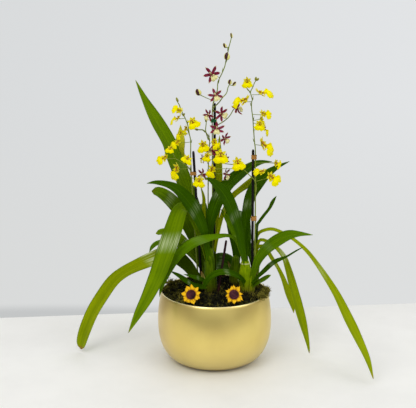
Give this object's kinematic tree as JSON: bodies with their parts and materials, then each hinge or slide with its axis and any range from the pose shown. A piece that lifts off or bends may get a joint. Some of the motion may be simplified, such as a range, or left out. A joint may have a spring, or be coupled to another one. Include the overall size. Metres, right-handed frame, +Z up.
{
  "type": "oncidium orchid in a round metal bowl",
  "caption": "Oncidium orchids with arching strap leaves and staked yellow and maroon flower sprays, planted in bark and moss in a round metal bowl with cloth sunflower picks.",
  "frame": {"origin": "middle of the bowl's flat base, on the surface that it stands on", "axes": "+Z up, -Y towards the front of the planting, +X to the right seen from the front"},
  "size_m": [0.4617, 0.2937, 0.5149],
  "materials": {
    "bowl": "satin brushed champagne gold",
    "mix": "loose chipped bark, matte",
    "moss": "tufted dark olive moss",
    "shoot": "ridged pseudobulbs and sheaths, satin",
    "leaf": "smooth keeled strap leaves, satin",
    "stake": "dark coated stake, matte",
    "yellow_spray": "yellow blooms on olive stems",
    "maroon_spray": "maroon blooms with cream lips",
    "tie": "tan tape, matte",
    "clip": "green plastic, matte",
    "petal": "golden cloth petals",
    "disc": "dark maroon felted disc"
  },
  "bodies": {
    "root": {"bowl": "bowl", "bark_mix": "mix", "moss": "moss", "shoot_left": "shoot", "shoot_right": "shoot", "shoot_back_left": "shoot", "shoot_back_mid": "shoot", "shoot_back_right": "shoot", "stake_left": "stake", "stake_middle": "stake", "stake_right": "stake", "prop_stick": "stake", "leaf_01_tall_left": "leaf", "leaf_02_pale_left": "leaf", "leaf_03_arching_left": "leaf", "leaf_04_blunt_left": "leaf", "leaf_05_folded_front": "leaf", "leaf_06_long_left": "leaf", "leaf_07_across_front": "leaf", "leaf_08_centre": "leaf", "leaf_09_narrow_centre": "leaf", "leaf_10_broad_right": "leaf", "leaf_11_olive": "leaf", "leaf_12_back_right": "leaf", "leaf_13_thin_right": "leaf", "leaf_14_arching_right": "leaf", "leaf_15_dark_right": "leaf", "leaf_16_short_right": "leaf", "leaf_17_low_front": "leaf", "leaf_18_low_left": "leaf", "leaf_19_low_left_small": "leaf", "leaf_20_behind_left": "leaf", "leaf_21_behind_left_low": "leaf", "leaf_22_upright": "leaf", "leaf_23_thin_upright": "leaf", "leaf_24_behind_centre": "leaf", "leaf_25_long_right": "leaf", "leaf_26_hanging_right": "leaf", "leaf_27_hanging_inner": "leaf", "leaf_28_back_arching": "leaf", "leaf_29_back_middle": "leaf", "leaf_30_back_right": "leaf", "spray_left_yellow": "yellow_spray", "spray_centre_maroon": "maroon_spray", "spray_centre_yellow": "yellow_spray", "spray_right_yellow": "yellow_spray", "tie_left": "tie", "clip_middle": "clip", "tie_right_upper": "tie", "tie_right_lower": "tie", "sunflower_left_petals": "petal", "sunflower_left_disc": "disc", "sunflower_right_petals": "petal", "sunflower_right_disc": "disc"}
  },
  "joints": []
}
